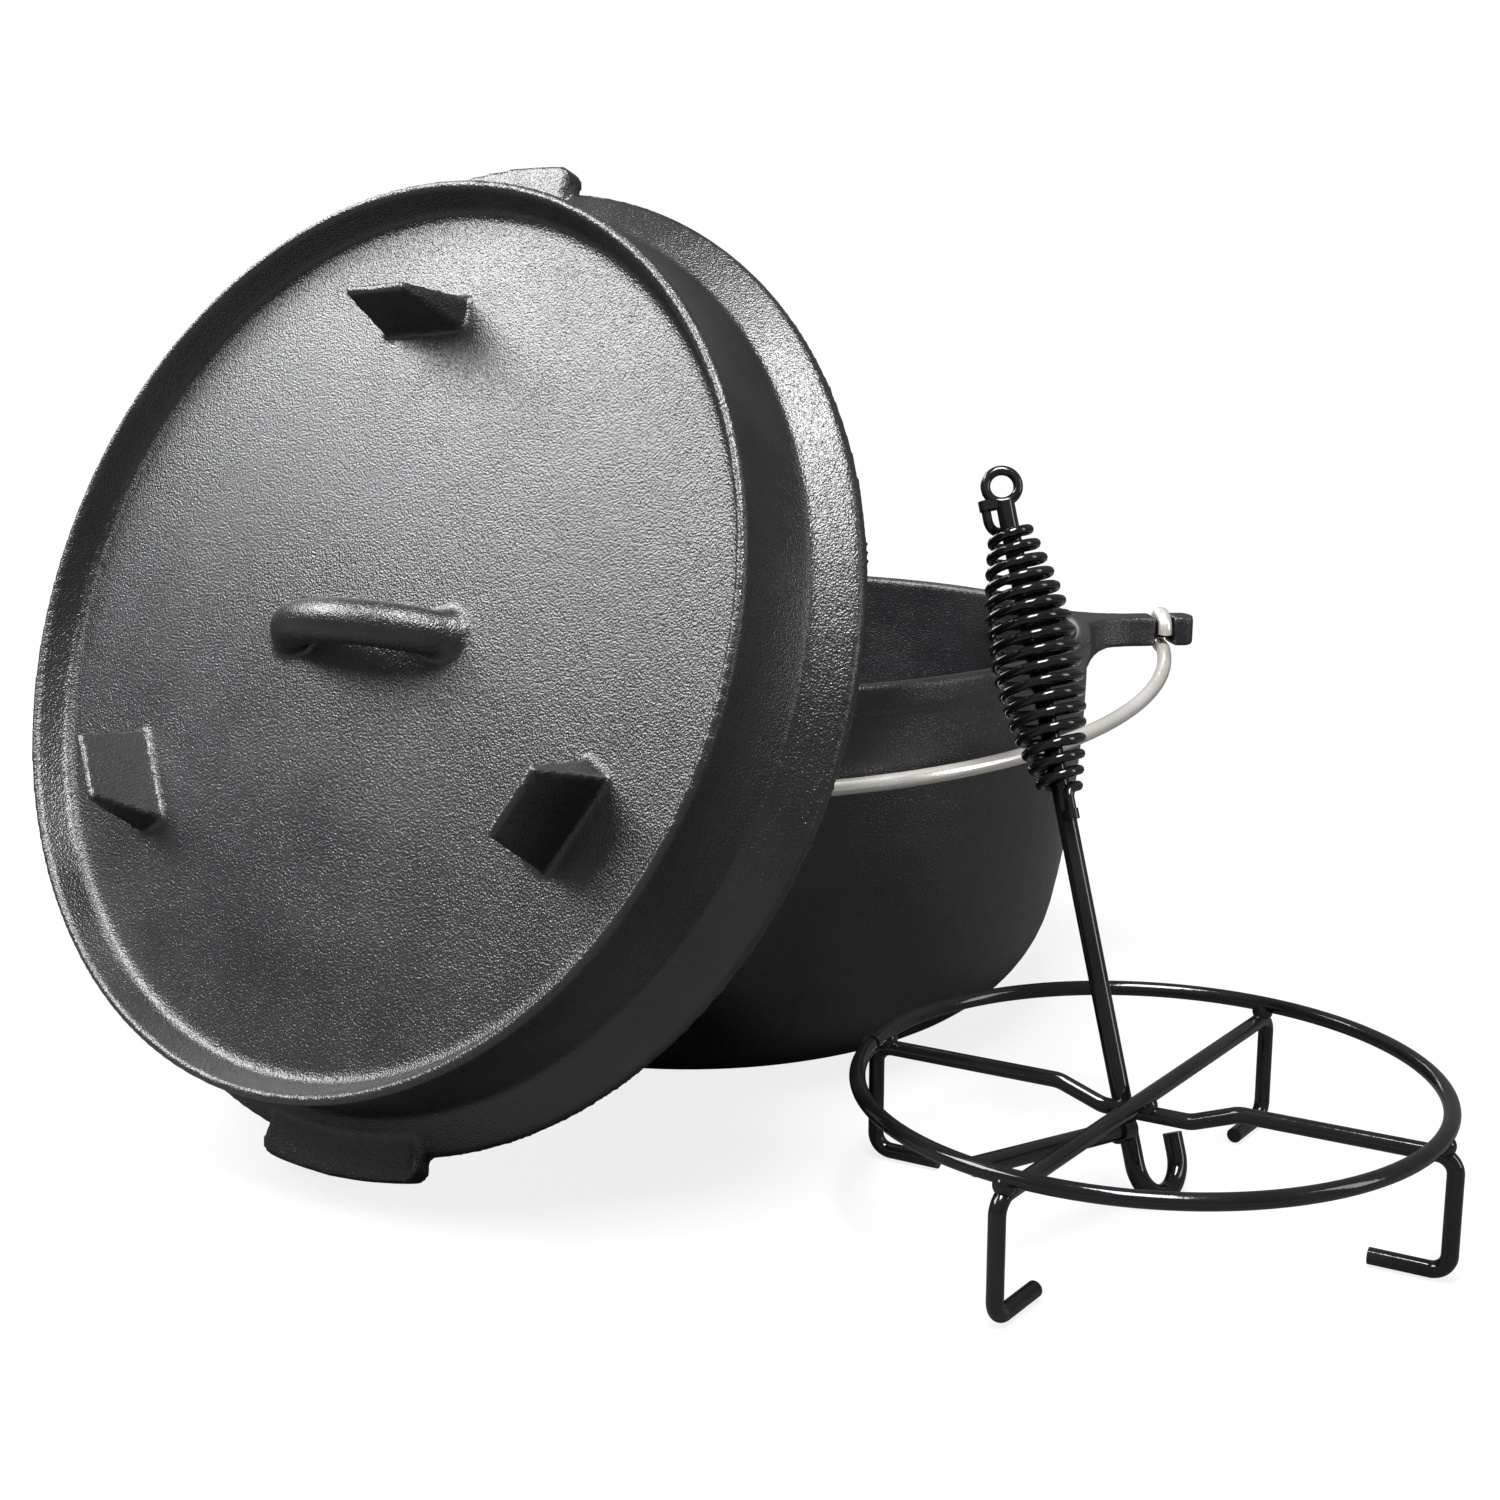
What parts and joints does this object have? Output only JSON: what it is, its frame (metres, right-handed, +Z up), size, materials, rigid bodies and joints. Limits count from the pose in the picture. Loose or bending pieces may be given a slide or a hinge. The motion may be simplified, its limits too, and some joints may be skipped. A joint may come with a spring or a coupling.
{
  "type": "camp dutch oven",
  "caption": "Cast-iron camp oven with wire bail, flanged lid with coal rim, legs and loop handle leaning beside it, spring-grip lid lifter and folded-wire ring trivet.",
  "frame": {"origin": "centre of the pot's flat base, on the floor", "axes": "+Z up along the pot's axis, X along the line of the two ears, -Y towards the lid and the trivet"},
  "size_m": [0.4905, 0.5274, 0.3493],
  "materials": {
    "cast_iron": "seasoned, sand-cast satin",
    "bright_wire": "bright plated",
    "black_wire": "gloss black"
  },
  "bodies": {
    "pot": {"pot": "cast_iron", "pot_ear_right": "cast_iron", "pot_ear_left": "cast_iron"},
    "bail": {"bail": "bright_wire"},
    "lid": {"lid": "cast_iron", "lid_handle": "cast_iron", "lid_leg_top": "cast_iron", "lid_leg_left": "cast_iron", "lid_leg_right": "cast_iron"},
    "lifter": {"lifter_rod": "black_wire", "lifter_arm": "black_wire", "lifter_spring": "black_wire", "lifter_eye": "black_wire", "lifter_welds": "black_wire"},
    "trivet": {"trivet_ring": "black_wire", "trivet_bar_straight": "black_wire", "trivet_bar_jogged": "black_wire", "trivet_welds": "black_wire"}
  },
  "joints": [
    {"name": "bail_swing", "type": "hinge", "parent": "pot", "child": "bail", "pos_m": [0, 0, 0.1575], "axis": [-1, 0, 0], "range_deg": [0, 198]},
    {"name": "lid_lift", "type": "slide", "parent": "pot", "child": "lid", "axis": [0, 0, 1], "range_m": [0, 0.25]},
    {"name": "lifter_lift", "type": "slide", "parent": "pot", "child": "lifter", "axis": [0, 0, 1], "range_m": [0, 0.05]},
    {"name": "trivet_lift", "type": "slide", "parent": "lifter", "child": "trivet", "axis": [0, 0, 1], "range_m": [0, 0.05]}
  ]
}
